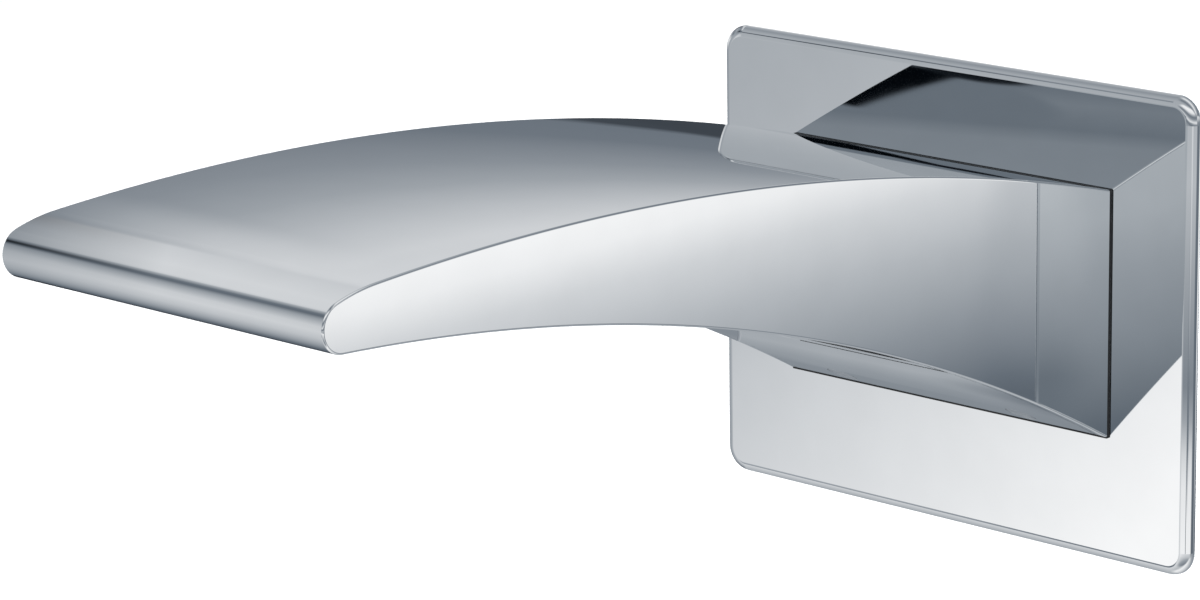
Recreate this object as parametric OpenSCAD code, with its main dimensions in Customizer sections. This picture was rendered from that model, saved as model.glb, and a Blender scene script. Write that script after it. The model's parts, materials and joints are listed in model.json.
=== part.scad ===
// Waterfall bath spout: a hollow, arched brass spout with a round lip, on a thin wall plate.
// The origin is on the inlet's axis at the wall. X runs along the wall, the spout reaches
// out towards -Y and Z is up. "Out" below is a distance from the wall, so Y is minus it.

/* [Spout body] */
// Width over the two side faces
body_w = 70.5; // [68:0.5:74]
// Length of the body from its rear face to the tip of the lip
body_len = 176; // [173:0.5:179]
// Height of the top at the wall end, above the inlet's axis
rear_top = 20.1; // [18.5:0.1:22]
// Depth of the underside at the wall end, below the inlet's axis
rear_low = 22.5; // [20.5:0.1:24]
// Height of the arched top at its highest point
crest_h = 36.9; // [35.5:0.1:38.5]
// Distance from the tip of the lip back to the top's highest point
crest_back = 50; // [40:1:60]
// Height at which the underside's arc would run level
under_h = 26.5; // [25.5:0.1:27.5]
// Distance past the tip of the lip at which the underside's arc would run level
under_ahead = 14; // [7:1:20]
// Thickness of the top wall
top_wall = 2.5; // [2:0.1:3]
// Thickness of the side walls
side_wall = 3; // [2.5:0.1:3.5]
// Thickness of the plate that closes the underside
under_wall = 2; // [1.5:0.1:2.4]
// Depth of the step in the side walls that takes the underside plate
step_d = 1.2; // [0.8:0.1:1.6]

/* [Lip] */
// Radius of the lip's tip as a share of the thickness there
lip_share = 0.485; // [0.46:0.005:0.49]
// Radius of the shoulder where the top rolls over into the lip
shoulder_r = 34; // [24:1:40]
// Length of solid metal behind the tip
lip_solid = 11; // [9:0.5:12]

/* [Wall plate] */
// Width of the wall plate
plate_w = 104; // [98:0.5:115]
// Height of the wall plate
plate_h = 81.5; // [76:0.5:90]
// Thickness of the wall plate
plate_t = 2; // [1.9:0.1:2.5]
// Height of the plate's centre relative to the inlet's axis
plate_z = -3.25; // [-4:0.25:-1]
// Radius of the plate's corners
plate_corner_r = 4.5; // [3.5:0.5:7]
// Radius that softens the plate's front edge
plate_edge_r = 1.8; // [0.8:0.1:1.8]
// Width of the opening behind the body
opening_w = 61; // [60:0.5:62]
// Height of the opening behind the body
opening_h = 34; // [33.5:0.1:34.5]
// Thickness of the foam gasket behind the plate
gasket_t = 1.5; // [1:0.1:2]
// How far the gasket stays inside the plate's outline
gasket_inset = 2.5; // [1.5:0.5:4]
// Thickness of the seal between the body and the plate
body_seal_t = 0.5; // [0.4:0.1:0.8]
// Width of that seal's rim
body_seal_w = 2.2; // [1.8:0.1:2.6]

/* [Inlet] */
// Outer radius of the half inch pipe thread
thread_r = 10.48; // [10.3:0.01:10.6]
// Length of full thread behind the wall
thread_len = 13; // [11:0.5:16]
// Radius of the relief between thread and hexagon
relief_r = 9.2; // [8.9:0.1:9.4]
// Size of the hexagon across its flats
hex_af = 22; // [21.5:0.1:22.6]
// Thickness of the hexagon
hex_t = 4.5; // [4:0.5:5]
// Outer radius of the smooth spigot
spigot_r = 8; // [7.8:0.1:8.2]
// Distance from the wall to the spigot's front end
spigot_out = 23; // [22:0.5:24]
// Radius of the water way through the nipple
way_r = 5.5; // [5:0.1:5.8]
// Thickness of the fibre washer
fibre_t = 1.5; // [1.2:0.1:1.8]
// Outer radius of the fibre washer
fibre_r = 11; // [10.5:0.1:11.4]
// Diameter of the O-rings' section
ring_d = 1.8; // [1.6:0.1:2]
// Distance between the two O-rings
ring_pitch = 4; // [3.5:0.1:4.5]
// Radius of the pocket for strainer and restrictor
pocket_r = 7.6; // [7.3:0.1:7.9]
// Depth of that pocket
pocket_len = 8; // [7.5:0.1:9]
// Thickness of the flow restrictor
restrictor_t = 2; // [1.5:0.1:2.2]
// Number of holes in the restrictor
restrictor_holes = 6; // [4:1:8]
// Number of slots in the strainer
strainer_slots = 7; // [5:2:7]
// Thickness of the strainer, and the width of its slots
strainer_t = 1; // [0.8:0.1:1.2]
// Width of the spring ring's section
clip_w = 1; // [0.8:0.1:1.2]

/* [Wall bracket] */
// Gap between the bracket's ends and the plate's opening
bracket_end_gap = 2; // [1.5:0.1:3]
// Gap above and below the bracket in the opening
bracket_top_gap = 1; // [0.8:0.1:1.5]
// Thickness of the bracket's sheet
bracket_t = 2; // [1.5:0.1:2.2]
// Width of each tab
tab_w = 12; // [10:0.5:14]
// Distance from the wall to the tabs' free ends
tab_out = 11; // [10:0.1:11.5]
// Distance from the wall screws' axes to the bracket's ends
screw_end = 6.5; // [6:0.1:7.5]
// Distance from the middles of the tabs to the bracket's ends
tab_end = 8.5; // [6.5:0.5:10.5]

/* [Screws] */
// Radius of a wall screw's shank
wall_screw_r = 2.25; // [2:0.05:2.5]
// Length of a wall screw below its head
wall_screw_len = 30; // [26:1:40]
// Radius of a wall screw's head
wall_head_r = 4.2; // [3.8:0.1:4.5]
// Height of a wall screw's head
wall_head_h = 2.6; // [2.2:0.1:3]
// Outer radius of the washers
washer_r = 4.8; // [4.5:0.1:5.2]
// Thickness of the washers
washer_t = 0.8; // [0.6:0.1:1]
// Outer radius of the wall plugs
plug_r = 4; // [3.5:0.1:5]
// Length of the wall plugs
plug_len = 30; // [26:1:40]
// Radius of the grub screws
grub_r = 2.5; // [2:0.1:3]
// Length of the grub screws
grub_len = 6; // [5.5:0.1:6.5]
// Thickness of the caps over the grub screws
cap_t = 1; // [0.8:0.1:1.2]
// Radius of an outlet screw's shank
outlet_screw_r = 1.25; // [1:0.05:1.5]
// Length of an outlet screw with its head
outlet_screw_len = 6; // [5.5:0.1:6.5]
// Radius of an outlet screw's head
outlet_head_r = 2.4; // [2.2:0.1:2.6]

/* [Water way] */
// Distance from the wall to the inlet block's rear face
block_out = 12; // [11.8:0.1:12.5]
// Length of the inlet block
block_len = 12; // [11:0.5:12.5]
// Height of the foot that holds the grub screws
foot_h = 4.5; // [4:0.1:5]
// Width of the foot
foot_w = 56; // [54:0.5:58]
// Distance from the wall to the baffle
baffle_out = 52; // [46:1:60]
// Thickness of the baffle
baffle_t = 1.5; // [1:0.1:2]
// Number of slots in the baffle
baffle_slots = 11; // [7:1:13]
// Width of each slot in the baffle
baffle_slot_w = 2.6; // [2:0.1:3]
// Distance from the wall to the guides' rear ends
guide_out = 92; // [86:1:98]
// Length of the guide vanes
guide_len = 44; // [36:1:48]
// Number of guide vanes
guide_count = 9; // [5:2:11]
// Thickness of a guide vane
guide_t = 1.2; // [1:0.1:1.6]
// Thickness of the web that joins the vanes
guide_web = 1.2; // [1:0.1:1.6]

/* [Outlet] */
// Distance from the tip of the lip back to the middle of the mouth
mouth_back = 20.5; // [20:0.5:21.5]
// Length of the mouthpiece, from back to front
insert_len = 18; // [17:0.5:19]
// Thickness of the mouthpiece
insert_t = 3.5; // [3.2:0.1:3.8]
// Distance from the water slot's ends to the outlet screws' axes
slot_side = 3.5; // [3.4:0.1:4]
// Length of the water slot, from back to front
slot_len = 6; // [5.5:0.1:6.5]
// Distance from the outlet screws' axes to the sides of the chamber
screw_side = 4.25; // [4:0.05:4.5]
// Radius of the bosses that take the outlet screws
boss_r = 3; // [2.6:0.1:3.2]
// Size of the seal's section
seal_t = 1.2; // [1:0.1:1.4]
// Thickness of the screen
screen_t = 0.5; // [0.4:0.1:0.6]
// Number of slots in the screen
screen_slots = 25; // [15:2:31]
// Share of the screen's pitch that is open
screen_open_share = 0.55; // [0.4:0.05:0.7]

/* [Fits] */
// Gap between brazed or seated pieces
seat_gap = 0.1; // [0.05:0.01:0.2]
// Gap round pieces that slide in by hand
slide_gap = 0.25; // [0.15:0.01:0.3]
// Radial gap between the spigot and its socket
socket_gap = 0.1; // [0.06:0.01:0.15]
// Radial gap round a screw in a clear hole
screw_gap = 0.3; // [0.2:0.05:0.4]

/* [Hidden] */

// Overrun of every cut past the face it opens
cut = 1;
// Depth by which arcs overlap where one runs into the next
blend = 0.02;
// Steps round the body's long arcs, and round small circles
arc_steps = 1440;
$fn = 96;

// Room for a whole side view, below and above the body
tall = crest_h + rear_low + 2 * cut;
low = -rear_low - cut;

// The plate's front face, and the rear face of the body on its seal
face_out = gasket_t + plate_t;
rear_out = face_out + body_seal_t;
// The tip of the lip, the middle of the mouth, and where the two arcs run level
tip_out = rear_out + body_len;
mouth_out = tip_out - mouth_back;
crest_out = tip_out - crest_back;
under_out = tip_out + under_ahead;

// Radius of an arc that is level at its end and rises by dh over a run of du
function arc_r(du, dh) = (du * du + dh * dh) / (2 * dh);
top_r = arc_r(crest_out - face_out, crest_h - rear_top);
under_r = arc_r(under_out - face_out, under_h + rear_low);
top_c = [crest_out, crest_h - top_r];
under_c = [under_out, under_h - under_r];

// Height of an arc with centre c and radius r at a distance u from the wall
function arc_z(c, r, u) = c[1] + sqrt(r * r - (u - c[0]) * (u - c[0]));
function top_z(u) = arc_z(top_c, top_r, u);
function under_z(u) = arc_z(under_c, under_r, u);

// The lip: a round tip that runs into the underside's arc, and a shoulder between tip and top
lip_r = lip_share * (top_z(tip_out) - under_z(tip_out));
lip_out = tip_out - lip_r;
lip_c = [lip_out, arc_z(under_c, under_r + lip_r - blend, lip_out)];
shoulder_c = meet(top_c, top_r - shoulder_r + blend, lip_c, shoulder_r - lip_r + blend);
shoulder_start = along(top_c, shoulder_c, top_r);
shoulder_end = along(shoulder_c, lip_c, shoulder_r + cut);

// Where circles round a and b meet, on the side away from the wall and upwards
function meet(a, ra, b, rb) =
  let (
    d = norm(b - a),
    e = (b - a) / d,
    s = (d * d + ra * ra - rb * rb) / (2 * d),
    h = sqrt(max(0, ra * ra - s * s))
  ) a + s * e + h * [-e[1], e[0]];
// Radius over the corners of a hexagon, from its size across the flats
function hex_corner(flats) = flats / (2 * cos(30));
// The point at a distance from a on the line through a and b
function along(a, b, distance) = a + distance * (b - a) / norm(b - a);

// Widths across the body
chamber_w = body_w - 2 * side_wall;
under_plate_w = chamber_w + 2 * step_d - 2 * seat_gap;
outlet_screw_pitch = chamber_w - 2 * screw_side;
slot_w = outlet_screw_pitch - 2 * slot_side;
// Where the underside plate ends, the chamber ends and the mouthpiece lies
mouth_slope = asin((under_out - mouth_out) / under_r);
mouth_start = mouth_out - insert_len / 2 - seat_gap;
chamber_end = tip_out - lip_solid;
under_top_r = under_r + under_wall;
// The bosses for the outlet screws end inside the top wall
boss_top = top_z(mouth_out) - under_z(mouth_out) - top_wall / 2;
// Places along the inlet
hex_start = fibre_t;
hex_end = hex_start + hex_t;
hex_r = hex_corner(hex_af);
ring_mid = (block_out + spigot_out) / 2;
ring_outs = [ring_mid - ring_pitch / 2, ring_mid + ring_pitch / 2];
socket_r = spigot_r + socket_gap;
groove_r = socket_r - ring_d;
groove_w = ring_d + 2 * slide_gap;
pocket_floor = thread_len - pocket_len;
// The spring ring's groove, past restrictor and strainer with a gap at each of their faces
clip_out = pocket_floor + restrictor_t + strainer_t + 4 * seat_gap;

// The bracket fits in the opening, with its screws and tabs near its ends
bracket_w = opening_w - 2 * bracket_end_gap;
bracket_h = opening_h - 2 * bracket_top_gap;
screw_pitch = bracket_w - 2 * screw_end;
grub_pitch = bracket_w - 2 * tab_end;
// Places of the bracket's tabs and the grub screws below them
grub_out = (rear_out + block_out) / 2;
foot_low = under_z(block_out) + under_wall + seat_gap;
foot_top = foot_low + foot_h;
tab_low = foot_top + slide_gap;

// A side view of the body, x outwards and y up, is turned to its place and given a width
module across(width) rotate([90, 0, -90]) linear_extrude(width, center = true) children();
// A front view, x along the wall and y up, is set at a distance from the wall, growing outwards
module outward(out, thickness) translate([0, -out, 0]) rotate([90, 0, 0])
  linear_extrude(thickness) children();
// A cylinder with its axis square to the wall, from one distance from the wall to another
module barrel(from_out, to_out, r, x = 0, z = 0) translate([x, -from_out, z]) rotate([90, 0, 0])
  cylinder(h = to_out - from_out, r = r);
// A block between two distances from the wall, from one height to another, centred on x
module slab(from_out, to_out, from_z, to_z, width, x = 0)
  translate([x - width / 2, -to_out, from_z])
    cube([width, to_out - from_out, to_z - from_z]);
// Copies at both sides of the middle
module pair(pitch) for (side = [-1, 1]) translate([side * pitch / 2, 0, 0]) children();
// The mouthpiece's own place: x along the wall, y outwards along the underside, z up from it
module at_mouth() translate([0, -mouth_out, under_z(mouth_out)])
  rotate([-mouth_slope, 0, 0]) mirror([0, 1, 0]) children();
// A rectangle's frame seen from above, for seals
module frame_2d(w, h, rim) difference() {
  square([w, h], center = true);
  square([w - 2 * rim, h - 2 * rim], center = true);
}
// A rectangle with round corners
module round_rect(w, h, r) union() {
  square([w - 2 * r, h], center = true);
  square([w, h - 2 * r], center = true);
  for (sx = [-1, 1], sy = [-1, 1])
    translate([sx * (w / 2 - r), sy * (h / 2 - r)]) circle(r);
}

// Side view of the whole body, from its rear face to the tip of the lip
module body_side() {
  difference() {
    union() {
      intersection() {
        translate(top_c) circle(top_r, $fn = arc_steps);
        translate([rear_out, low]) square([shoulder_start[0] - rear_out, tall]);
      }
      intersection() {
        translate(shoulder_c) circle(shoulder_r, $fn = arc_steps);
        polygon([
          [shoulder_c[0], low], [lip_out, low], lip_c, shoulder_end, [shoulder_c[0], low + tall]
        ]);
      }
    }
    translate(under_c) circle(under_r, $fn = arc_steps);
  }
  translate(lip_c) circle(lip_r);
}
// Side view of the hollow inside, between two distances from the wall, with a gap all round
module chamber_side(from_out, to_out, gap) difference() {
  intersection() {
    translate(top_c) circle(top_r - top_wall - gap, $fn = arc_steps);
    translate([from_out, low]) square([to_out - from_out, tall]);
  }
  translate(under_c) circle(under_top_r + gap, $fn = arc_steps);
}

module spout_shell() color("gainsboro") difference() {
  union() {
    difference() {
      across(body_w) body_side();
      across(chamber_w) intersection() {
        translate(top_c) circle(top_r - top_wall, $fn = arc_steps);
        translate([rear_out - cut, low]) square([chamber_end - rear_out + cut, tall]);
      }
      across(chamber_w + 2 * step_d) intersection() {
        translate(under_c) circle(under_top_r + seat_gap, $fn = arc_steps);
        translate([rear_out - cut, low]) square([mouth_start - rear_out + cut, tall]);
      }
    }
    at_mouth() pair(outlet_screw_pitch) translate([0, 0, insert_t + seat_gap])
      cylinder(h = boss_top - insert_t - seat_gap, r = boss_r);
  }
  at_mouth() pair(outlet_screw_pitch) cylinder(h = outlet_screw_len + cut, r = outlet_screw_r);
}

module underside_plate() color("silver") difference() {
  across(under_plate_w) difference() {
    intersection() {
      translate(under_c) circle(under_top_r, $fn = arc_steps);
      translate([rear_out, low]) square([mouth_start - seat_gap - rear_out, tall]);
    }
    translate(under_c) circle(under_r, $fn = arc_steps);
  }
  grub_holes(grub_r + seat_gap);
}
// Holes for the grub screws, up from below the body
module grub_holes(r) pair(grub_pitch) translate([0, -grub_out, low - cut])
  cylinder(h = foot_top - low + 2 * cut, r = r);

module wall_plate() color("gainsboro") difference() {
  flat_w = plate_w - 2 * plate_corner_r;
  flat_h = plate_h - 2 * plate_corner_r;
  translate([0, -gasket_t, plate_z]) union() {
    across(flat_w) plate_bar(plate_h / 2);
    rotate([0, 90, 0]) across(flat_h) plate_bar(plate_w / 2);
    for (quarter = [0 : 3]) {
      side = quarter == 0 || quarter == 3 ? 1 : -1;
      end = quarter < 2 ? 1 : -1;
      translate([side * flat_w / 2, 0, end * flat_h / 2]) rotate([90, 0, 0])
        rotate([0, 0, 90 * quarter]) rotate_extrude(angle = 90)
          mirror([1, -1, 0]) plate_edge(plate_corner_r);
    }
  }
  slab(-cut, face_out + cut, -opening_h / 2, opening_h / 2, opening_w);
}
// Section through the plate from its middle to one soft edge, x outwards and y along the plate
module plate_edge(half) {
  square([plate_t - plate_edge_r, half]);
  square([plate_t, half - plate_edge_r]);
  translate([plate_t - plate_edge_r, half - plate_edge_r]) intersection() {
    circle(plate_edge_r);
    square(plate_edge_r);
  }
}
module plate_bar(half) {
  plate_edge(half);
  mirror([0, 1, 0]) plate_edge(half);
}

module plate_gasket() color("dimgray") difference() {
  translate([0, 0, plate_z]) outward(0, gasket_t) round_rect(
    plate_w - 2 * gasket_inset, plate_h - 2 * gasket_inset, plate_corner_r
  );
  slab(-cut, face_out + cut, -opening_h / 2, opening_h / 2, opening_w);
}

module body_seal() color("black") {
  seal_w = body_w - 2 * seat_gap;
  seal_top = top_z(rear_out) - seat_gap;
  seal_low = under_z(face_out) + seat_gap;
  difference() {
    slab(face_out, rear_out, seal_low, seal_top, seal_w);
    slab(
      face_out - cut, rear_out + cut, seal_low + body_seal_w, seal_top - body_seal_w,
      seal_w - 2 * body_seal_w
    );
  }
}

module inlet_block() color("goldenrod") difference() {
  union() {
    across(chamber_w - 2 * seat_gap) chamber_side(block_out, block_out + block_len, seat_gap);
    intersection() {
      slab(rear_out + slide_gap, block_out + cut, low, foot_top, foot_w);
      across(foot_w) chamber_side(rear_out, block_out + cut, seat_gap);
    }
  }
  barrel(block_out - cut, block_out + block_len + cut, socket_r);
  grub_holes(grub_r);
}

module inlet_nipple() color("darkgoldenrod") difference() {
  union() {
    barrel(-thread_len, 0, thread_r);
    barrel(0, hex_start, relief_r);
    translate([0, -hex_start, 0]) rotate([90, 0, 0]) cylinder(h = hex_t, r = hex_r, $fn = 6);
    barrel(hex_end, spigot_out, spigot_r);
  }
  barrel(-thread_len - cut, spigot_out + cut, way_r);
  barrel(-thread_len - cut, -pocket_floor, pocket_r);
  barrel(-clip_out - clip_w - slide_gap, -clip_out, pocket_r + clip_w / 2);
  for (out = ring_outs) difference() {
    barrel(out - groove_w / 2, out + groove_w / 2, spigot_r + cut);
    barrel(out - groove_w / 2, out + groove_w / 2, groove_r);
  }
}

// A flat ring about the inlet's axis
module washer(from_out, to_out, inner_r, outer_r) difference() {
  barrel(from_out, to_out, outer_r);
  barrel(from_out - cut, to_out + cut, inner_r);
}

module thread_seal() color("firebrick")
  washer(0, hex_start, relief_r + seat_gap, fibre_r);

module nipple_o_rings() color("black") for (out = ring_outs)
  translate([0, -out, 0]) rotate([90, 0, 0]) rotate_extrude()
    translate([(groove_r + socket_r) / 2, 0]) circle(ring_d / 2 - seat_gap / 2);

module inlet_strainer() color("silver") {
  rim_out = -pocket_floor - restrictor_t - 2 * seat_gap;
  last = (strainer_slots - 1) / 2;
  pitch = 2 * way_r / (strainer_slots + 1);
  difference() {
    barrel(rim_out - strainer_t, rim_out, pocket_r - seat_gap);
    for (i = [-last : last]) slab(
      rim_out - strainer_t - cut, rim_out + cut, -way_r + abs(i) * strainer_t / 2,
      way_r - abs(i) * strainer_t / 2, strainer_t, i * pitch
    );
  }
}

module flow_restrictor() color("seagreen") difference() {
  barrel(-pocket_floor - seat_gap - restrictor_t, -pocket_floor - seat_gap, pocket_r - seat_gap);
  for (i = [1 : restrictor_holes]) barrel(
    -pocket_floor - restrictor_t - cut, -pocket_floor + cut, restrictor_t / 2,
    pocket_r / 2 * cos(i * 360 / restrictor_holes), pocket_r / 2 * sin(i * 360 / restrictor_holes)
  );
}

module strainer_clip() color("dimgray") difference() {
  washer(
    -clip_out - clip_w, -clip_out - seat_gap, pocket_r - clip_w, pocket_r + clip_w / 2 - seat_gap
  );
  slab(-clip_out - clip_w - cut, -clip_out + cut, 0, pocket_r + clip_w, 2 * clip_w);
}

module wall_bracket() color("lightslategray") difference() {
  union() {
    slab(0, bracket_t, -bracket_h / 2, bracket_h / 2, bracket_w);
    for (side = [-1, 1]) slab(
      0, tab_out, tab_low, tab_low + bracket_t, tab_w, side * grub_pitch / 2
    );
  }
  barrel(-cut, bracket_t + cut, hex_r + slide_gap);
  pair(screw_pitch) {
    slab(-cut, bracket_t + cut, -washer_t, washer_t, 2 * (wall_screw_r + screw_gap));
    for (end = [-1, 1]) barrel(
      -cut, bracket_t + cut, wall_screw_r + screw_gap, 0, end * washer_t
    );
  }
}

module wall_screws() color("silver") pair(screw_pitch) {
  seat = bracket_t + washer_t + 2 * seat_gap;
  difference() {
    barrel(seat, seat + wall_head_h, wall_head_r);
    for (turn = [0, 90]) translate([0, -seat - wall_head_h, 0]) rotate([0, turn, 0])
      cube([wall_screw_r * 2, wall_head_h, washer_t], center = true);
  }
  barrel(seat - wall_screw_len + wall_screw_r, seat, wall_screw_r);
  translate([0, wall_screw_len - wall_screw_r - seat, 0]) rotate([-90, 0, 0])
    cylinder(h = wall_screw_r, r1 = wall_screw_r, r2 = 0);
}

module screw_washers() color("silver") pair(screw_pitch)
  washer(
    bracket_t + seat_gap, bracket_t + seat_gap + washer_t, wall_screw_r + seat_gap, washer_r
  );

module wall_plugs() color("gray") pair(screw_pitch) difference() {
  barrel(-plug_len - seat_gap, -seat_gap, plug_r);
  barrel(-plug_len - seat_gap + washer_t, cut, wall_screw_r + seat_gap);
}

module grub_screws() color("dimgray") pair(grub_pitch)
  translate([0, -grub_out, tab_low - seat_gap - grub_len]) difference() {
    cylinder(h = grub_len, r = grub_r - seat_gap);
    translate([0, 0, -cut]) cylinder(h = grub_r + cut, r = hex_corner(grub_r), $fn = 6);
  }

module grub_caps() color("gainsboro") intersection() {
  pair(grub_pitch) translate([0, -grub_out, low]) cylinder(h = tall, r = grub_r);
  across(body_w) difference() {
    translate(under_c) circle(under_r + cap_t, $fn = arc_steps);
    translate(under_c) circle(under_r, $fn = arc_steps);
  }
}

module chamber_baffle() color("lightgray") {
  slot_pitch = chamber_w / (baffle_slots + 1);
  slot_low = under_z(baffle_out + baffle_t) + under_wall + side_wall;
  slot_top = top_z(baffle_out) - top_wall - side_wall;
  difference() {
    across(chamber_w - 2 * slide_gap)
      chamber_side(baffle_out, baffle_out + baffle_t, slide_gap);
    for (i = [1 : baffle_slots]) slab(
      baffle_out - cut, baffle_out + baffle_t + cut, slot_low, slot_top, baffle_slot_w,
      i * slot_pitch - chamber_w / 2
    );
  }
}

module flow_guides() color("whitesmoke") {
  vane_pitch = (chamber_w - guide_t - 2 * slide_gap) / (guide_count - 1);
  intersection() {
    across(chamber_w - 2 * slide_gap)
      chamber_side(guide_out, guide_out + guide_len, slide_gap);
    union() {
      for (i = [0 : guide_count - 1]) slab(
        guide_out - cut, guide_out + guide_len + cut, low, low + tall, guide_t,
        (i - (guide_count - 1) / 2) * vane_pitch
      );
      across(chamber_w) translate(under_c)
        circle(under_top_r + slide_gap + guide_web, $fn = arc_steps);
    }
  }
}

// The mouthpiece lies flat against the underside, in the mouth's own directions
module outlet_insert() color("darkslategray") at_mouth() difference() {
  insert_w = chamber_w - 2 * seat_gap;
  translate([-insert_w / 2, -insert_len / 2, 0]) cube([insert_w, insert_len, insert_t]);
  translate([0, 0, insert_t / 2]) linear_extrude(seal_t + 2 * seat_gap, center = true)
    frame_2d(insert_w + cut, insert_len + cut, seal_t + seat_gap + cut / 2);
  translate([-slot_w / 2, -slot_len / 2, -cut]) cube([slot_w, slot_len, insert_t + 2 * cut]);
  translate([0, 0, insert_t]) cube(
    [slot_w + 2 * seal_t + 2 * seat_gap, slot_len + 2 * seal_t + 2 * seat_gap, 2 * screen_t],
    center = true
  );
  pair(outlet_screw_pitch) {
    translate([0, 0, -cut]) cylinder(h = insert_t + 2 * cut, r = outlet_screw_r + seat_gap);
    cylinder(h = outlet_screw_r, r = outlet_head_r + seat_gap);
  }
}

module outlet_seal() color("black") at_mouth() translate([0, 0, insert_t / 2])
  linear_extrude(seal_t, center = true) frame_2d(chamber_w - seat_gap, insert_len, seal_t);

module outlet_screen() color("silver") at_mouth() {
  screen_w = slot_w + 2 * seal_t;
  pitch = slot_w / screen_slots;
  translate([0, 0, insert_t - screen_t]) difference() {
    translate([-screen_w / 2, -slot_len / 2 - seal_t, seat_gap])
      cube([screen_w, slot_len + 2 * seal_t, screen_t - seat_gap]);
    for (i = [0 : screen_slots - 1])
      translate([(i + 0.5) * pitch - slot_w / 2, 0, 0])
        cube([pitch * screen_open_share, slot_len - seal_t, 2 * cut], center = true);
  }
}

module outlet_screws() color("silver") at_mouth() pair(outlet_screw_pitch) difference() {
  union() {
    translate([0, 0, seat_gap])
      cylinder(h = outlet_screw_r - seat_gap, r = outlet_head_r);
    cylinder(h = outlet_screw_len, r = outlet_screw_r - seat_gap);
  }
  for (turn = [0, 90]) rotate([0, 0, turn])
    cube([outlet_screw_r * 2, screen_t, outlet_screw_r], center = true);
}

spout_shell();
underside_plate();
wall_plate();
plate_gasket();
body_seal();
inlet_block();
inlet_nipple();
thread_seal();
nipple_o_rings();
inlet_strainer();
flow_restrictor();
strainer_clip();
wall_bracket();
wall_screws();
screw_washers();
wall_plugs();
grub_screws();
grub_caps();
chamber_baffle();
flow_guides();
outlet_insert();
outlet_seal();
outlet_screen();
outlet_screws();
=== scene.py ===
"""A waterfall bath spout in polished chrome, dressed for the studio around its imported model."""

import json
import math

import bmesh
import bpy
from mathutils import Matrix, Vector


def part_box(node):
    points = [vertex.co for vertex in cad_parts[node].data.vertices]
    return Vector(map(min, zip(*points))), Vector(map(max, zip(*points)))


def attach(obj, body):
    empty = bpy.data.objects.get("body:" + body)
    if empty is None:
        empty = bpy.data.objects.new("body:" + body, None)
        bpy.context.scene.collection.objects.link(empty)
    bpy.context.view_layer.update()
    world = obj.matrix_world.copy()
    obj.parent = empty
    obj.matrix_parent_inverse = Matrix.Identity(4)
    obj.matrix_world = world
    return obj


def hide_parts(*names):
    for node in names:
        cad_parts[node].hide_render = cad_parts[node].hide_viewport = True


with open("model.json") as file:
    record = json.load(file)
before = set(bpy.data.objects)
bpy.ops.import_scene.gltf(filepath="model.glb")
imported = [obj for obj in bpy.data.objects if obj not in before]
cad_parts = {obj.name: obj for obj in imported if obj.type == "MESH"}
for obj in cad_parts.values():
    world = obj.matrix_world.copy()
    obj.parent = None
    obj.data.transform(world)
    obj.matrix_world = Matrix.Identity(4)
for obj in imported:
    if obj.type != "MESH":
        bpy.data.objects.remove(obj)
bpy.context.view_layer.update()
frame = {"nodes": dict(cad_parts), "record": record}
carried = frame["nodes"]
MM = 0.001

# The spout's side view, in millimetres out from the wall and up from the inlet's axis
plate_front = -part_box("wall_plate")[0].y / MM
rear_out = -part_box("spout_shell")[1].y / MM
tip_out = -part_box("spout_shell")[0].y / MM
body_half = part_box("spout_shell")[1].x / MM
rear_top = 20.1
rear_low = 22.5
crest_h = 36.9
crest_out = 130.0
under_h = 26.5
under_out = 194.0
top_wall = 2.5
side_wall = 3.0
under_wall = 2.0
step_depth = 1.2
fit_gap = 0.1
lip_share = 0.485
shoulder_r = 34.0
lip_solid = 11.0
mouth_start = -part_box("underside_plate")[0].y / MM + fit_gap

# The nipple, in millimetres out from the wall; its thread stands behind the wall, so below nought
thread_r = 10.48
thread_root_r = 9.32
thread_pitch = 1.814
thread_end = -13.0
relief_r = 9.2
hex_start = 1.5
hex_end = 6.0
hex_flats = 22.0
spigot_r = 8.0
spigot_end = 23.0
way_r = 5.5
pocket_r = 7.6
pocket_floor = -5.0
ring_outs = (15.5, 19.5)
ring_groove_r = 6.3
ring_groove_w = 2.3
clip_groove_r = 8.1
clip_groove = (-8.4, -9.65)
chamfer = 0.5

# The wall plugs, in millimetres behind the wall
plug_pitch = 44.0
plug_start = 0.1
plug_end = 30.1
plug_bore_r = 2.35
plug_r = 4.0
plug_tip_r = 2.4
plug_hole_r = 1.0
tip_wall = 0.8
collar_w = 1.6
barb_low_r = 3.4
barb_step = 3.0
barb_rise = 0.4
slit_start = 9.0
slit_w = 1.0

# The soft edges that buffing leaves, and the step along the long arcs
edge_r = 0.35
arc_step = 2.5


def arc_radius(run, rise):
    """Radius of an arc that is level at its end and climbs by rise over run."""
    return (run * run + rise * rise) / (2 * rise)


top_r = arc_radius(crest_out - plate_front, crest_h - rear_top)
under_r = arc_radius(under_out - plate_front, under_h + rear_low)
top_c = Vector((crest_out, crest_h - top_r))
under_c = Vector((under_out, under_h - under_r))


def arc_height(centre, radius, out):
    """How high the upper half of a circle is at a distance from the wall."""
    return centre.y + math.sqrt(radius**2 - (out - centre.x) ** 2)


lip_r = lip_share * (arc_height(top_c, top_r, tip_out) - arc_height(under_c, under_r, tip_out))
lip_c = Vector((tip_out - lip_r, arc_height(under_c, under_r + lip_r, tip_out - lip_r)))


def meeting(a, reach_a, b, reach_b):
    """Where circles round a and b cross, above the line that joins them."""
    span = b - a
    length = span.length
    foot = (length**2 + reach_a**2 - reach_b**2) / (2 * length)
    rise = math.sqrt(max(0.0, reach_a**2 - foot**2))
    along = span / length
    return a + along * foot + Vector((-along.y, along.x)) * rise


shoulder_c = meeting(top_c, top_r - shoulder_r, lip_c, shoulder_r - lip_r)


def turned(centre, point):
    """The angle at which a point stands round a centre."""
    return math.atan2(point.y - centre.y, point.x - centre.x)


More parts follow.
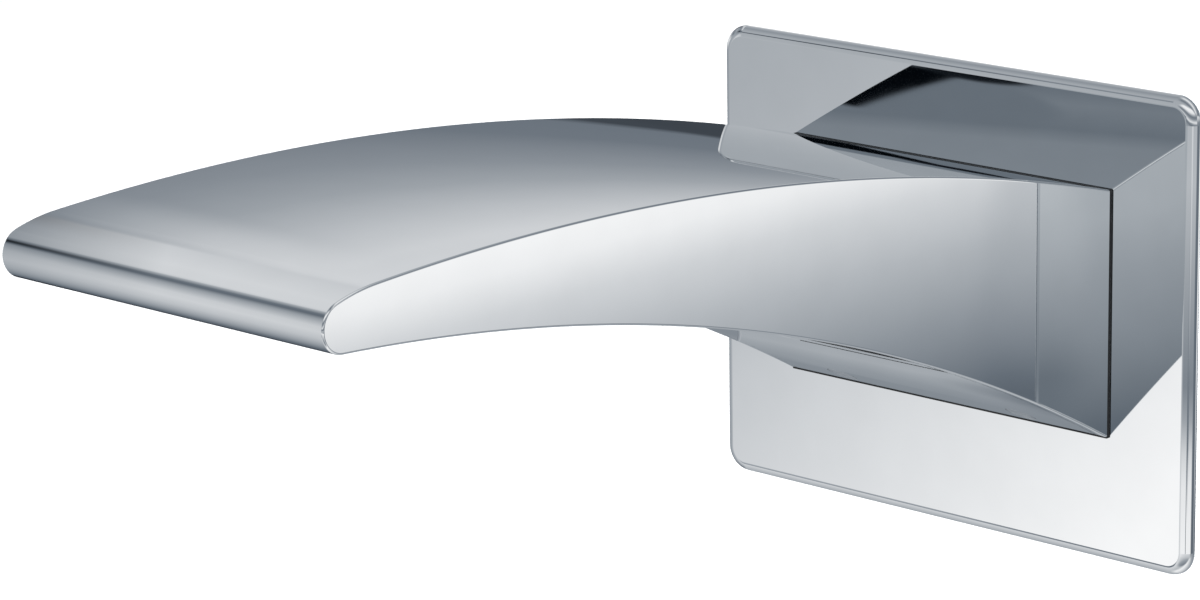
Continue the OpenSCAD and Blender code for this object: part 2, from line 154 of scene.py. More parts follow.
def arc(centre, radius, start, end, steps):
    """Points of an arc between two angles, its start left out."""
    angles = [start + (end - start) * i / steps for i in range(1, steps + 1)]
    return [(centre.x + radius * math.cos(a), centre.y + radius * math.sin(a)) for a in angles]


def body_outline():
    """The whole side view: top, shoulder, round lip and underside, back to the rear face."""
    rear = Vector((rear_out, arc_height(top_c, top_r, rear_out)))
    back = Vector((rear_out, arc_height(under_c, under_r, rear_out)))
    start = turned(top_c, shoulder_c)
    ending = turned(shoulder_c, lip_c)
    foot = turned(lip_c, under_c)
    long_steps = round((tip_out - rear_out) / arc_step)
    outline = [tuple(rear)]
    outline += arc(top_c, top_r, turned(top_c, rear), start, long_steps)
    outline += arc(shoulder_c, shoulder_r, start, ending, steps=10)
    outline += arc(lip_c, lip_r, ending, foot, steps=24)
    outline += arc(under_c, under_r, foot + math.pi, turned(under_c, back), long_steps)
    return outline


def arch(radius, centre, low, start, end):
    """The side view of what lies under an arc, for the hollows."""
    first = Vector((start, arc_height(centre, radius, start)))
    last = Vector((end, arc_height(centre, radius, end)))
    steps = round((end - start) / arc_step)
    points = [(start, low), tuple(first)]
    points += arc(centre, radius, turned(centre, first), turned(centre, last), steps)
    return points + [(end, low)]


def prism(bm, outline, half):
    """A side view, in millimetres, given its width across the body."""
    ring = [bm.verts.new((-half * MM, -out * MM, up * MM)) for out, up in outline]
    side = bm.faces.new(ring)
    grown = bmesh.ops.extrude_face_region(bm, geom=[side])["geom"]
    moved = [item for item in grown if isinstance(item, bmesh.types.BMVert)]
    bmesh.ops.translate(bm, verts=moved, vec=(2 * half * MM, 0, 0))
    bmesh.ops.recalc_face_normals(bm, faces=bm.faces)


def loose(bm, name="loose"):
    """A solid of its own, its place in its mesh."""
    mesh = bpy.data.meshes.new(name)
    bm.to_mesh(mesh)
    bm.free()
    made = bpy.data.objects.new(name, mesh)
    bpy.context.scene.collection.objects.link(made)
    return made


def piece(name, bm, slot):
    """A mesh with its finish, riding on the one body."""
    made = loose(bm, name)
    made.data.materials.append(finishes[slot])
    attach(made, "root")
    return made


def combine(target, operation, *others):
    """Cuts solids out of a piece, joins them to it or keeps what it shares with them."""
    for other in others:
        change = target.modifiers.new("combine", "BOOLEAN")
        change.operation = operation
        change.solver = "EXACT"
        change.object = other
    bpy.context.view_layer.update()
    seen = target.evaluated_get(bpy.context.evaluated_depsgraph_get())
    made = bpy.data.meshes.new_from_object(seen)
    target.modifiers.clear()
    target.data = made
    for other in others:
        bpy.data.objects.remove(other)


def shaded(target, angle):
    """Smooth shading, with edges sharper than an angle kept sharp."""
    target.data.shade_smooth()
    target.data.set_sharp_from_angle(angle=math.radians(angle))


def ring_round(bm, profile, steps=96, side=0.0):
    """A closed side profile, as (out, radius) in millimetres, spun about an axis into the wall."""
    corners = [bm.verts.new(((side + radius) * MM, -out * MM, 0)) for out, radius in profile]
    lines = [bm.edges.new(ends) for ends in zip(corners, corners[1:] + corners[:1])]
    bmesh.ops.spin(
        bm,
        geom=corners + lines,
        cent=(side * MM, 0, 0),
        axis=(0, 1, 0),
        angle=math.tau,
        steps=steps,
        use_merge=True,
    )
    bmesh.ops.remove_doubles(bm, verts=bm.verts, dist=MM / 1000)
    bmesh.ops.recalc_face_normals(bm, faces=bm.faces)


def even_normals(target):
    """Keeps broad faces flat in the mirror, so that only the soft edges turn the light."""
    weigh = target.modifiers.new("even_normals", "WEIGHTED_NORMAL")
    weigh.mode = "FACE_AREA"
    weigh.weight = 100
    weigh.keep_sharp = True


# Materials


def from_srgb(parts):
    """Red, green and blue as a screen shows them, as an opaque linear colour."""
    low = [v / 12.92 if v <= 0.04045 else ((v + 0.055) / 1.055) ** 2.4 for v in parts]
    return (*low, 1.0)


def linear(code):
    """An sRGB hex colour as linear values."""
    return from_srgb([int(code[i : i + 2], 16) / 255 for i in (0, 2, 4)])


def cool_grey(percent):
    """A grey from black (0) to white (100): bluish in the shadows, faintly warm near white."""
    grey = percent / 100
    cast = min(0.012 + 0.05 * grey, 0.063 - 0.071 * grey)
    less_green = 0.002
    return from_srgb([grey - cast, grey - less_green, grey + cast])


def add(tree, kind, settings=None, links=None):
    """Adds a node, sets its properties or sockets, and links outputs to its inputs."""
    node = tree.nodes.new(kind)
    for key, value in (settings or {}).items():
        if isinstance(key, str) and hasattr(node, key):
            setattr(node, key, value)
        else:
            node.inputs[key].default_value = value
    for key, source in (links or {}).items():
        tree.links.new(source, node.inputs[key])
    return node


def stops(ramp_node, points):
    """Sets a colour ramp to (position, colour) points."""
    ramp = ramp_node.color_ramp
    while len(ramp.elements) < len(points):
        ramp.elements.new(1.0)
    for element, (position, colour) in zip(ramp.elements, points):
        element.position = position
        element.color = colour


def surface(name, colour, metallic, roughness, more=None):
    """A new material with its shader, and the coordinates that its patterns read."""
    material = bpy.data.materials.new(name)
    material.use_nodes = True
    tree = material.node_tree
    shader = tree.nodes["Principled BSDF"]
    settings = {"Base Color": linear(colour), "Metallic": metallic, "Roughness": roughness}
    for key, value in {**settings, **(more or {})}.items():
        shader.inputs[key].default_value = value
    coords = add(tree, "ShaderNodeTexCoord").outputs["Object"]
    return material, tree, shader, coords


def mottle(tree, shader, coords, size_mm, colours, rough, detail=3.0):
    """Drifts a surface between two colours and two roughnesses, in patches of a size."""
    size = {"Scale": 1 / (size_mm * MM), "Detail": detail}
    noise = add(tree, "ShaderNodeTexNoise", size, {"Vector": coords})
    tint = add(tree, "ShaderNodeValToRGB", links={"Fac": noise.outputs["Fac"]})
    stops(tint, [(0.35, linear(colours[0])), (0.65, linear(colours[1]))])
    tree.links.new(tint.outputs["Color"], shader.inputs["Base Color"])
    spread = {"From Min": 0.3, "From Max": 0.7, "To Min": rough[0], "To Max": rough[1]}
    gloss = add(tree, "ShaderNodeMapRange", spread, {"Value": noise.outputs["Fac"]})
    tree.links.new(gloss.outputs["Result"], shader.inputs["Roughness"])
    return noise


def relief(tree, shader, height, depth_mm, strength=1.0):
    """Raises a pattern on the surface by a depth."""
    depth = {"Strength": strength, "Distance": depth_mm * MM}
    bump = add(tree, "ShaderNodeBump", depth, {"Height": height})
    tree.links.new(bump.outputs["Normal"], shader.inputs["Normal"])


def polished_chrome(name, ripple_mm, ripple_depth_mm):
    """Chrome over buffed metal: a clear, faintly blue mirror that the buffing left a little wavy."""
    material, tree, shader, coords = surface(name, "E5E8EA", 1.0, 0.03)
    mottle(tree, shader, coords, 9.0, ("E4E7E9", "E6E9EB"), (0.012, 0.022))
    size = {"Scale": 1 / (ripple_mm * MM), "Detail": 0.0}
    wave = add(tree, "ShaderNodeTexNoise", size, {"Vector": coords})
    relief(tree, shader, wave.outputs["Fac"], ripple_depth_mm)
    return material


def silvered_cap(name):
    """Vacuum metallised plastic: nearly chrome, a shade softer and warmer in its mirror."""
    material, tree, shader, coords = surface(name, "D6D8D9", 1.0, 0.1)
    noise = mottle(tree, shader, coords, 2.0, ("D2D4D6", "DCDDDE"), (0.08, 0.14))
    relief(tree, shader, noise.outputs["Fac"], 0.004)
    return material


def bare_brass(name):
    """Turned brass: yellow, fine rings from the lathe, and a dull film where it was handled."""
    material, tree, shader, coords = surface(name, "C9A45C", 1.0, 0.3)
    mottle(tree, shader, coords, 5.0, ("B8924A", "D6B36C"), (0.24, 0.42))
    # Lathe rings 0.4 mm apart, coarser than real ones so that they show
    ring_gap = 0.4 * MM
    place = add(tree, "ShaderNodeMapping", {"Rotation": (0, 0, math.pi / 2)}, {"Vector": coords})
    bands = {"wave_type": "BANDS", "Scale": 1 / (ring_gap * math.tau), "Distortion": 0.6}
    rings = add(tree, "ShaderNodeTexWave", bands, {"Vector": place.outputs["Vector"]})
    relief(tree, shader, rings.outputs["Fac"], 0.015, 0.5)
    return material


def rolled_steel(name, colours, rough):
    """Rolled stainless sheet and wire: cool grey with a fine grain along the wall."""
    material, tree, shader, coords = surface(name, colours[0], 1.0, rough[0])
    mottle(tree, shader, coords, 4.0, colours, rough)
    # Grain 0.15 mm wide, drawn out along X
    stretch = add(tree, "ShaderNodeMapping", {"Scale": (0.05, 1, 1)}, {"Vector": coords})
    size = {"Scale": 1 / (0.15 * MM), "Detail": 2.0}
    grain = add(tree, "ShaderNodeTexNoise", size, {"Vector": stretch.outputs["Vector"]})
    relief(tree, shader, grain.outputs["Fac"], 0.01, 0.6)
    return material


def zinc_plate(name):
    """Zinc plated steel: pale blue-grey spangle in patches, with a satin shine."""
    material, tree, shader, coords = surface(name, "AEB4B9", 1.0, 0.35)
    flakes = add(tree, "ShaderNodeTexVoronoi", {"Scale": 1 / (3.0 * MM)}, {"Vector": coords})
    tint = add(tree, "ShaderNodeValToRGB", links={"Fac": flakes.outputs["Color"]})
    stops(tint, [(0.1, linear("A3AAB0")), (0.9, linear("BCC2C6"))])
    tree.links.new(tint.outputs["Color"], shader.inputs["Base Color"])
    spread = {"To Min": 0.28, "To Max": 0.45}
    gloss = add(tree, "ShaderNodeMapRange", spread, {"Value": flakes.outputs["Distance"]})
    tree.links.new(gloss.outputs["Result"], shader.inputs["Roughness"])
    return material


def moulded_rubber(name, colours, grain_mm=0.5):
    """Moulded rubber: a dull, slightly dusty skin with a fine grain from the mould."""
    material, tree, shader, coords = surface(name, colours[0], 0.0, 0.6)
    mottle(tree, shader, coords, 4.0, colours, (0.5, 0.75))
    size = {"Scale": 1 / (grain_mm * MM), "Detail": 4.0}
    grain = add(tree, "ShaderNodeTexNoise", size, {"Vector": coords})
    relief(tree, shader, grain.outputs["Fac"], 0.02, 0.5)
    return material


def cell_foam(name):
    """Closed cell foam: charcoal, matt, with cut open cells under a millimetre wide."""
    material, tree, shader, coords = surface(name, "47494C", 0.0, 0.9)
    mottle(tree, shader, coords, 6.0, ("3F4144", "505357"), (0.82, 0.95))
    cells = add(tree, "ShaderNodeTexVoronoi", {"Scale": 1 / (0.8 * MM)}, {"Vector": coords})
    relief(tree, shader, cells.outputs["Distance"], 0.25, 0.8)
    return material


def milky_silicone(name):
    """Silicone rubber: milky and soft, light goes a little way in."""
    inside = {"Subsurface Weight": 0.4, "Subsurface Scale": 1.5 * MM, "Subsurface Radius": (1, 1, 1)}
    material, tree, shader, coords = surface(name, "D5D9D9", 0.0, 0.35, inside)
    noise = mottle(tree, shader, coords, 3.0, ("CDD2D2", "DDE0E0"), (0.3, 0.45))
    relief(tree, shader, noise.outputs["Fac"], 0.02, 0.4)
    return material


def pressed_fibre(name):
    """Red vulcanised fibre: brick red paper layers, faintly streaked and matt."""
    material, tree, shader, coords = surface(name, "8E3A2B", 0.0, 0.7)
    flat = add(tree, "ShaderNodeMapping", {"Scale": (1, 6, 1)}, {"Vector": coords})
    noise = mottle(tree, shader, flat.outputs["Vector"], 1.5, ("7E3226", "9C4433"), (0.6, 0.8), 5.0)
    relief(tree, shader, noise.outputs["Fac"], 0.04, 0.6)
    return material


def moulded_plastic(name, colours, rough, grain_mm=0.6):
    """Injection moulded plastic: even colour, a fine spark grain and slight flow marks."""
    material, tree, shader, coords = surface(name, colours[0], 0.0, rough[0], {"IOR": 1.48})
    mottle(tree, shader, coords, 8.0, colours, rough)
    size = {"Scale": 1 / (grain_mm * MM), "Detail": 3.0}
    grain = add(tree, "ShaderNodeTexNoise", size, {"Vector": coords})
    relief(tree, shader, grain.outputs["Fac"], 0.012, 0.5)
    return material


finishes = {
    "chromed_brass": polished_chrome("polished_chrome_on_brass", 38.0, 0.003),
    "chromed_steel": polished_chrome("polished_chrome_on_sheet", 55.0, 0.002),
    "bare_brass": bare_brass("turned_brass"),
    "stainless_steel": rolled_steel("rolled_stainless_steel", ("A9ABAC", "BCBEBF"), (0.22, 0.36)),
    "spring_steel": rolled_steel("blackened_spring_steel", ("303235", "42454A"), (0.34, 0.5)),
    "zinc_steel": zinc_plate("zinc_plated_steel"),
    "black_rubber": moulded_rubber("moulded_black_rubber", ("131416", "1E2022")),
    "clear_silicone": milky_silicone("milky_silicone"),
    "red_fibre": pressed_fibre("pressed_red_fibre"),
    "foam": cell_foam("closed_cell_foam"),
    "green_acetal": moulded_plastic("moulded_green_acetal", ("3F9A66", "4AA873"), (0.32, 0.42)),
    "white_acetal": moulded_plastic("moulded_white_acetal", ("E4E5E2", "EEEFEC"), (0.3, 0.4)),
    "dark_acetal": moulded_plastic("moulded_dark_acetal", ("33373B", "3D4246"), (0.28, 0.4)),
    "grey_nylon": moulded_plastic("moulded_grey_nylon", ("8A8D91", "979A9E"), (0.42, 0.55)),
    "silver_plastic": silvered_cap("silvered_plastic"),
}
for part in frame["record"]["subparts"]:
    carried[part["node"]].data.materials[0] = finishes[part["material_slot"]]

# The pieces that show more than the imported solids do


def spout_skin():
    """The arched body: one skin with softened side edges, hollow, open below for plate and mouth."""
    bm = bmesh.new()
    prism(bm, body_outline(), body_half)
    hair = MM / 100
    rear = -rear_out * MM - hair
    side = [e for e in bm.edges if abs(e.verts[0].co.x - e.verts[1].co.x) < hair]
    side = [e for e in side if min(v.co.y for v in e.verts) < rear]
    bmesh.ops.bevel(
        bm,
        geom=side,
        offset=edge_r * MM,
        offset_type="OFFSET",
        affect="EDGES",
        segments=4,
        profile=0.5,
        material=-1,
        clamp_overlap=True,
    )
    skin = piece("spout_skin", bm, "chromed_brass")
    past = 1.0
    inner = body_half - side_wall
    below = -rear_low - past
    behind = rear_out - past
    hollow = bmesh.new()
    prism(hollow, arch(top_r - top_wall, top_c, below, behind, tip_out - lip_solid), inner)
    rebate = bmesh.new()
    roof = under_r + under_wall + fit_gap
    prism(rebate, arch(roof, under_c, below, behind, mouth_start), inner + step_depth)
    combine(skin, "DIFFERENCE", loose(hollow), loose(rebate))
    shaded(skin, 40)
    even_normals(skin)
    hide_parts("spout_shell")


def thread_turns():
    """The pipe thread: a zigzag beside the axis, spun once while it moves on by a pitch."""
    turns = 9
    steps = 72
    first = thread_pitch
    inner_r = 8.7
    low_r = thread_root_r - 0.02
    crest = (0.42, 0.58)
    zigzag = []
    for turn in range(turns):
        out = first - turn * thread_pitch
        zigzag.append((out, low_r))
        zigzag += [(out - share * thread_pitch, thread_r) for share in crest]
    zigzag.append((first - turns * thread_pitch, low_r))
    zigzag += [(first - turn * thread_pitch, inner_r) for turn in range(turns, -1, -1)]
    bm = bmesh.new()
    corners = [bm.verts.new((radius * MM, -out * MM, 0)) for out, radius in zigzag]
    lines = [bm.edges.new(ends) for ends in zip(corners, corners[1:] + corners[:1])]
    bmesh.ops.spin(
        bm,
        geom=corners + lines,
        cent=(0, 0, 0),
        axis=(0, 1, 0),
        dvec=(0, thread_pitch * MM / steps, 0),
        angle=math.tau,
        steps=steps,
    )
    bmesh.ops.remove_doubles(bm, verts=bm.verts, dist=MM / 200)
    bmesh.ops.holes_fill(bm, edges=[e for e in bm.edges if e.is_boundary])
    bmesh.ops.recalc_face_normals(bm, faces=bm.faces)
    thread = loose(bm)

    # A sleeve with sloped ends, which the thread runs out in
    run_in = 1.2
    start = -0.2
    end = thread_end + chamfer
    past = thread_r + 0.1
    sleeve = bmesh.new()
    ring_round(
        sleeve,
        [
            (start, inner_r - 0.2),
            (start, thread_root_r + 0.2),
            (start - run_in, past),
            (thread_end + 1.6, past),
            (end, thread_root_r),
            (end, inner_r - 0.2),
        ],
    )
    combine(thread, "INTERSECT", loose(sleeve))
    return thread


def nipple_hexagon():
    """The hexagon, its corners taken off on the lathe at both faces."""
    corner_r = hex_flats / math.sqrt(3)
    bm = bmesh.new()
    flats = bmesh.ops.create_circle(bm, cap_ends=True, segments=6, radius=corner_r * MM)["verts"]
    turn_out = Matrix.Rotation(math.pi / 2, 3, "X")
    bmesh.ops.rotate(bm, verts=flats, cent=(0, 0, 0), matrix=turn_out)
    bmesh.ops.translate(bm, verts=flats, vec=(0, -hex_start * MM, 0))
    grown = bmesh.ops.extrude_face_region(bm, geom=bm.faces[:])["geom"]
    moved = [item for item in grown if isinstance(item, bmesh.types.BMVert)]
    bmesh.ops.translate(bm, verts=moved, vec=(0, (hex_start - hex_end) * MM, 0))
    bmesh.ops.recalc_face_normals(bm, faces=bm.faces)
    hexagon = loose(bm)

    past = 1.0
    slope = 1.2
    inner_r = 8.9
    face_r = hex_flats / 2 - 1.0
    lathe = bmesh.new()
    ring_round(
        lathe,
        [
            (hex_start - past, inner_r),
            (hex_start - past, face_r),
            (hex_start + slope, corner_r + 0.1),
            (hex_end - slope, corner_r + 0.1),
            (hex_end + past, face_r),
            (hex_end + past, inner_r),
        ],
    )
    combine(hexagon, "INTERSECT", loose(lathe))
    return hexagon


def threaded_nipple():
    """The half inch nipple: cut thread, hexagon with turned corners, and spigot with two grooves."""
    outside = [
        (thread_end, pocket_r + chamfer),
        (thread_end + chamfer, thread_root_r),
        (0.0, thread_root_r),
        (0.0, relief_r),
        (hex_start + chamfer, relief_r),
        (hex_end, relief_r),
        (hex_end, spigot_r),
    ]
    for middle in ring_outs:
        back, front = middle - ring_groove_w / 2, middle + ring_groove_w / 2
        outside += [(back, spigot_r), (back, ring_groove_r)]
        outside += [(front, ring_groove_r), (front, spigot_r)]
    outside += [(spigot_end - 2 * chamfer, spigot_r), (spigot_end, spigot_r - chamfer)]
    clip_near, clip_far = clip_groove
    inside = [
        (spigot_end, way_r + chamfer),
        (spigot_end - chamfer, way_r),
        (pocket_floor, way_r),
        (pocket_floor, pocket_r),
        (clip_near, pocket_r),
        (clip_near, clip_groove_r),
        (clip_far, clip_groove_r),
        (clip_far, pocket_r),
        (thread_end, pocket_r),
    ]
    core = bmesh.new()
    ring_round(core, outside + inside)
    nipple = piece("threaded_nipple", core, "bare_brass")
    combine(nipple, "UNION", thread_turns(), nipple_hexagon())
    shaded(nipple, 30)
    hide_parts("inlet_nipple")


def split_plugs():
    """The wall plugs: a collar, barbs against pulling out, and legs that the screw spreads."""
    rim = 0.3
    flank = 0.5
    taper = 1.8
    plain_end = 2.0
    collar_end = plug_start + collar_w
    barbs = int((plug_end - plain_end - collar_end) / barb_step)
    profile = [
        (-plug_start, plug_bore_r),
        (-plug_start, plug_r - rim),
        (-plug_start - rim, plug_r),
        (-collar_end, plug_r),
    ]
    for barb in range(barbs):
        valley = collar_end + barb * barb_step + flank
        profile += [(-valley, barb_low_r), (-valley - barb_rise, plug_r)]
    profile += [
        (-plug_end + taper, barb_low_r),
        (-plug_end, plug_tip_r),
        (-plug_end, plug_hole_r),
        (-plug_end + tip_wall, plug_hole_r),
        (-plug_end + tip_wall, plug_bore_r),
    ]
    bm = bmesh.new()
    slits = bmesh.new()
    slit_length = plug_end + 1.0 - slit_start
    for side in (-plug_pitch / 2, plug_pitch / 2):
        ring_round(bm, profile, steps=72, side=side)
        slit = bmesh.ops.create_cube(slits, size=MM)["verts"]
        bmesh.ops.scale(slits, verts=slit, vec=(2 * plug_r + 1, slit_length, slit_w))
        middle = (side * MM, (slit_start + slit_length / 2) * MM, 0)
        bmesh.ops.translate(slits, verts=slit, vec=middle)
    plugs = piece("split_plugs", bm, "grey_nylon")
    combine(plugs, "DIFFERENCE", loose(slits))
    shaded(plugs, 30)
    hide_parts("wall_plugs")


spout_skin()
threaded_nipple()
split_plugs()

# Camera, matched to the photograph

camera_turn = math.radians(44.31)
camera_lift = math.radians(13.98)
camera_roll = math.radians(-0.85)
camera_away = 0.81147
camera_aside = -0.05952
camera_up = -0.00128
camera_lens = 142.07
# Height that the camera is set up on, in front of the plate
aim_height = -0.003

level = Vector((math.cos(camera_turn), math.sin(camera_turn), 0))
ahead = Vector(
    (
        -math.sin(camera_turn) * math.cos(camera_lift),
        math.cos(camera_turn) * math.cos(camera_lift),
        -math.sin(camera_lift),
    )
)
upright = level.cross(ahead)
across = math.cos(camera_roll) * level + math.sin(camera_roll) * upright
upward = -math.sin(camera_roll) * level + math.cos(camera_roll) * upright
aim = Vector((0, -plate_front * MM, aim_height)) + camera_aside * across + camera_up * upward
camera_data = bpy.data.cameras.new("camera")
camera_data.lens = camera_lens
camera_data.sensor_width = 36
camera_data.clip_start = 0.01
camera = bpy.data.objects.new("camera", camera_data)
camera.matrix_world = Matrix.Translation(aim - camera_away * ahead) @ Matrix(
    (across, upward, -ahead)
).transposed().to_4x4()
bpy.context.scene.collection.objects.link(camera)
bpy.context.scene.camera = camera
bpy.context.scene.view_settings.view_transform = "Standard"

# Studio: a plain pale floor, a soft light overhead, and the light and dark panels in the mirror


def heading(turn, lift):
    """The direction at a turn round from the spout's front and a lift above level, in degrees."""
    a, e = math.radians(turn), math.radians(lift)
    return Vector((math.sin(a) * math.cos(e), -math.cos(a) * math.cos(e), math.sin(e)))


def panel(tree, direction, base, turn, lift, size, lean, ramp):
    """A soft edged panel far away: its shades run along one direction, over what was there."""
    middle = heading(turn, lift)
    a = math.radians(turn)
    level_way = Vector((math.cos(a), math.sin(a), 0))
    rise_way = middle.cross(level_way)
    run = (level_way * lean[0] + rise_way * lean[1]) * math.degrees(1)
    offset = -run.dot(middle)
    dot = {"operation": "DOT_PRODUCT"}
    along = add(tree, "ShaderNodeVectorMath", {**dot, 1: run}, {0: direction})
    placed = add(
        tree, "ShaderNodeMath", {"operation": "ADD", 1: offset}, {0: along.outputs["Value"]}
    )
    first, last = ramp[0][0], ramp[-1][0]
    unit = add(
        tree,
        "ShaderNodeMapRange",
        {"From Min": first, "From Max": last},
        {"Value": placed.outputs["Value"]},
    )
    shade = add(tree, "ShaderNodeValToRGB", links={"Fac": unit.outputs["Result"]})
    stops(shade, [((at - first) / (last - first), cool_grey(light)) for at, light in ramp])
    near = add(tree, "ShaderNodeVectorMath", {**dot, 1: middle}, {0: direction})
    window = add(
        tree,
        "ShaderNodeMapRange",
        {
            "interpolation_type": "SMOOTHSTEP",
            "From Min": math.cos(math.radians(size[1])),
            "From Max": math.cos(math.radians(size[0])),
        },
        {"Value": near.outputs["Value"]},
    )
    mix = add(tree, "ShaderNodeMix", {"data_type": "RGBA"})
    tree.links.new(window.outputs["Result"], mix.inputs["Factor"])
    tree.links.new(base, mix.inputs[6])
    tree.links.new(shade.outputs["Color"], mix.inputs[7])
    return mix.outputs[2]


def studio_world():
    """White for the camera, and a light tent with darker panels for the mirror."""
    world = bpy.data.worlds.new("studio")
    world.use_nodes = True
    tree = world.node_tree
    tree.nodes.clear()
    direction = add(tree, "ShaderNodeTexCoord").outputs["Generated"]
    parts = add(tree, "ShaderNodeSeparateXYZ", links={"Vector": direction}).outputs
    front = add(tree, "ShaderNodeMath", {"operation": "MULTIPLY", 1: -1.0}, {0: parts["Y"]})
    circling = add(
        tree, "ShaderNodeMath", {"operation": "ARCTAN2"}, {0: parts["Z"], 1: front.outputs[0]}
    )
    spread = {"From Min": -math.pi, "From Max": math.pi}
    round_spout = add(tree, "ShaderNodeMapRange", spread, {"Value": circling.outputs[0]})
    colour = None
    for (start, end), strips in tent:
        shade = add(tree, "ShaderNodeValToRGB", links={"Fac": round_spout.outputs["Result"]})
        stops(shade, [((turn + 180) / 360, cool_grey(light)) for turn, light in strips])
        if colour is None:
            colour = shade.outputs["Color"]
            continue
        span = {"From Min": start, "From Max": end}
        share = add(tree, "ShaderNodeMapRange", span, {"Value": parts["X"]})
        mix = add(tree, "ShaderNodeMix", {"data_type": "RGBA"})
        tree.links.new(share.outputs["Result"], mix.inputs["Factor"])
        tree.links.new(colour, mix.inputs[6])
        tree.links.new(shade.outputs["Color"], mix.inputs[7])
        colour = mix.outputs[2]
    for turn, lift_deg, size, lean, ramp in panels:
        colour = panel(tree, direction, colour, turn, lift_deg, size, lean, ramp)
    mirror = add(tree, "ShaderNodeBackground", {"Strength": mirror_light}, {"Color": colour})
    plain = add(tree, "ShaderNodeBackground", {"Color": linear("FFFFFF"), "Strength": 1.0})
    seen = add(tree, "ShaderNodeLightPath")
    both = add(tree, "ShaderNodeMixShader")
    tree.links.new(seen.outputs["Is Camera Ray"], both.inputs[0])
    tree.links.new(mirror.outputs[0], both.inputs[1])
    tree.links.new(plain.outputs[0], both.inputs[2])
    out = add(tree, "ShaderNodeOutputWorld")
    tree.links.new(both.outputs[0], out.inputs["Surface"])
    bpy.context.scene.world = world


# The tent's stretches from the spout's left to its right: where each takes over from the one
# before, and its strips of light and shade, as degrees round the spout's width, from level in
# front up over the top to the back, each with its brightness in percent
mirror_light = 1.22
tent = [
    # The left wall
    ((-1.0, -1.0), [(-180, 62), (180, 62)]),
    # Dim, with a black batten in front above
    (
        (-0.9, -0.8),
        [(-150, 15), (-128, 20), (-115, 42), (-95, 54), (-70, 63), (-30, 70), (10, 65), (38, 54),
         (46, 32), (50, 4), (56, 6), (62, 39), (72, 54), (110, 54), (129, 49), (139, 35), (150, 30)],
    ),
    # Light, with the batten grown grey
    (
        (-0.767, -0.742),
        [(-135, 26), (-110, 43), (-80, 63), (-50, 76), (-20, 82), (2, 80), (15, 73), (33, 61),
         (46, 41), (54, 44), (66, 67), (70, 80), (78, 83), (124, 83), (150, 76)],
    ),
    # Even grey left of the middle
    (
        (-0.7, -0.665),
        [(-165, 51), (-80, 73), (-30, 85), (-14, 73), (0, 68), (60, 66), (100, 57), (125, 65),
         (150, 68), (180, 57)],
    ),
    # Soft boxes over, behind and below the middle
    (
        (-0.45, -0.2),
        [(-180, 95), (-172, 80), (-160, 51), (-130, 61), (-100, 85), (-80, 95), (-60, 73),
         (-30, 85), (0, 68), (60, 66), (80, 46), (95, 62), (106, 88), (115, 85), (124, 67),
         (134, 54), (144, 46), (154, 54), (166, 73), (178, 95)],
    ),
    # The dark right wall
    ((0.8, 0.97), [(-180, 42), (180, 42)]),
]
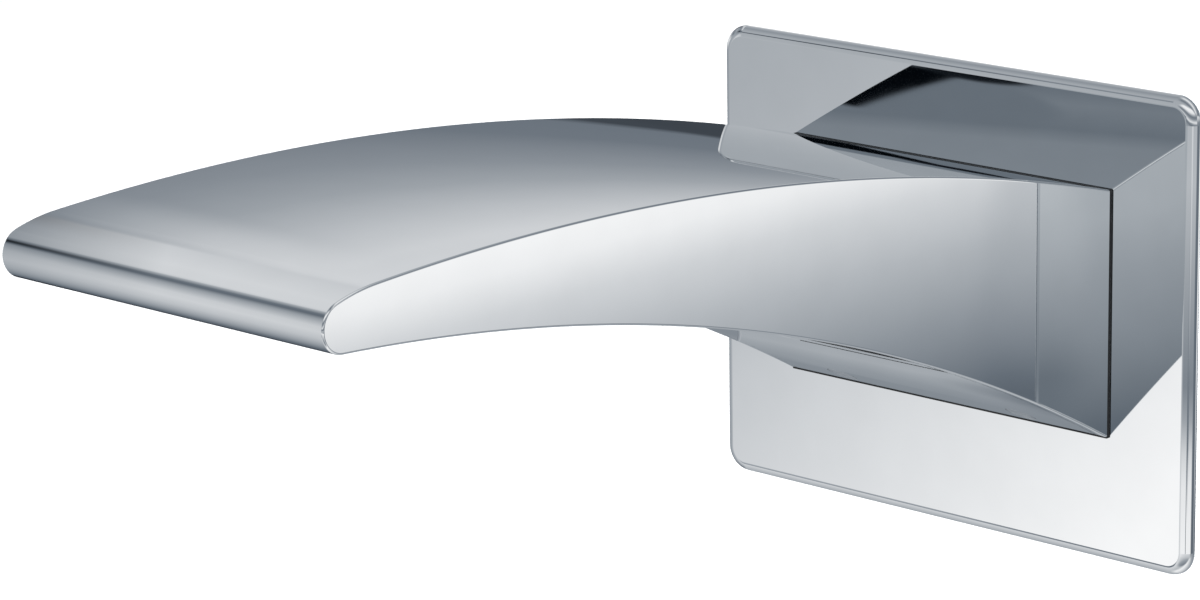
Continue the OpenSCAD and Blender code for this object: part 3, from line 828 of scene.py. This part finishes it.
# Each panel: turn and lift of its middle, its clear and its whole radius, how its shades lean
# over a degree sideways and a degree upwards, all in degrees, and its shades from one side to
# the other, as degrees from its middle with a brightness in percent
panels = [
    # The wall in front and to the right: soft boxes over each other, dark behind the plate's rim
    (
        35.0, 0.0, (53, 66), (0.0, 1.0),
        [(-50, 46), (-35, 63), (-21.5, 85), (-16.7, 95), (-15.8, 90), (-15.2, 61), (-14.8, 51),
         (-12.5, 73), (-9.5, 62), (-6.5, 46), (-3.5, 57), (0, 88), (3, 80), (10, 57), (18, 46),
         (24, 63), (32, 90), (42, 95), (50, 67)],
    ),
    # The right wall behind: dark below, light above
    (112.0, 0.0, (18, 24), (0.0, 1.0), [(-25, 32), (-14, 42), (0, 54), (15, 82), (30, 95)]),
    # The left wall: a light box level with the spout, a dark one above
    (
        -97.0, 0.0, (22, 30), (0.0, 1.0),
        [(-40, 46), (-14.8, 62), (-11, 59), (-5, 80), (1, 88), (7, 67), (13, 46), (21, 57),
         (30, 85), (45, 95)],
    ),
    # What the plate mirrors: light, and whiter to its lower right
    (
        -40.3, -14.0, (5.0, 6.2), (1.0, -1.0),
        [(-5, 68), (-2.9, 71), (-1.2, 79), (1.7, 88), (5.6, 98)],
    ),
    # What the mirrored underside shows
    (
        -44.0, -24.5, (5.0, 6.5), (0.0, 1.0),
        [(-4.5, 57), (-2.5, 58), (-1.3, 62), (1.9, 69), (4.4, 68)],
    ),
    # and its dark right end
    (-36.0, -25.0, (5.0, 6.6), (0.0, 1.0), [(-3, 44), (-0.7, 46), (2.7, 57)]),
    # What the mirrored top shows: dim
    (
        -46.8, 31.2, (5.2, 6.0), (0.0, 1.0),
        [(-2.5, 48), (-1.5, 52), (0.3, 47.5), (1.3, 55), (3.4, 56)],
    ),
    # and its black corner
    (-47.3, 29.5, (1.9, 2.3), (0.707, 0.707), [(0.2, 3), (0.33, 47.5)]),
    # and its black rear edge
    (-45.1, 27.9, (0.55, 0.85), (0.0, 1.0), [(-1, 10), (1, 10)]),
    # What the right side mirrors: light above, dark below
    (
        137.0, -14.0, (7, 12), (-0.26, 0.97),
        [(-2.9, 38), (-1.9, 43), (-1.1, 58), (-0.2, 72), (0.5, 83), (1, 94), (1.5, 98)],
    ),
    # and its end next to the plate, more even
    (
        147.2, -14.0, (6.2, 6.8), (0.0, 1.0),
        [(-1.2, 40), (-1, 43), (-0.5, 53.5), (0.3, 65), (1.4, 76), (2.5, 83)],
    ),
    # What the left side mirrors
    (
        -137.0, -16.0, (6.5, 10), (0.26, 0.97),
        [(-2.9, 51), (-1.6, 61), (1.4, 81), (3, 88), (5, 92)],
    ),
    # What the mirrored side shows
    (
        38.0, -14.0, (4.4, 6.0), (0.25, 1.0),
        [(-2, 42), (-1.5, 45), (-0.5, 59), (0.4, 67), (1, 73), (1.8, 74.5)],
    ),
    # and the strip of the side in which the plate is seen
    (
        45.0, -14.0, (6.2, 6.8), (0.0, 1.0),
        [(-7.5, 85), (-2.7, 95), (-1.8, 48), (-1, 48.5), (-0.5, 59), (0.6, 74.5), (1.4, 81.5),
         (6, 88)],
    ),
    # What the top mirrors: dark at its far edge, lighter towards the near one
    (
        -134.0, 8.0, (13, 17), (-0.81, 0.59),
        [(-2.8, 26), (-2.3, 43), (-0.8, 44.5), (1.1, 54.5), (2.1, 62), (3.1, 72), (4.1, 80),
         (6, 82)],
    ),
    # and where it bends down to the lip
    (
        -127.5, 21.5, (1.5, 5.0), (-0.91, 0.41),
        [(-2.6, 46), (-1.7, 54), (-0.9, 65.5), (0.2, 77), (1.1, 81), (2.2, 82)],
    ),
    # The dark sliver at the top's far edge
    (-139.0, -7.0, (4.0, 5.5), (0.0, 1.0), [(-1, 24), (1, 25)]),
]


def pale_floor():
    """A plain pale floor well below the plate, which keeps out of the mirror."""
    radius = 5.0
    drop = 0.3
    bm = bmesh.new()
    bmesh.ops.create_circle(bm, cap_ends=True, segments=64, radius=radius)
    bmesh.ops.translate(bm, verts=bm.verts, vec=(0, 0, -drop))
    floor = loose(bm, "floor")
    material, tree, shader, coords = surface("painted_floor", "F6F6F5", 0.0, 0.8)
    mottle(tree, shader, coords, 400.0, ("F5F5F4", "F8F8F7"), (0.75, 0.85))
    floor.data.materials.append(material)
    floor.visible_glossy = False


def soft_light(name, place, size, power):
    """A square soft box that lights what is matt and stays out of the mirror."""
    data = bpy.data.lights.new(name, "AREA")
    data.shape = "SQUARE"
    data.size = size
    data.energy = power
    lamp = bpy.data.objects.new(name, data)
    lamp.location = place
    lamp.rotation_euler = (-Vector(place)).to_track_quat("-Z", "Y").to_euler()
    lamp.visible_glossy = False
    lamp.visible_camera = False
    bpy.context.scene.collection.objects.link(lamp)


studio_world()
pale_floor()
soft_light("overhead", (0.4, -0.8, 1.8), 2.0, 60)
soft_light("behind", (-0.8, 1.6, 1.0), 1.5, 25)
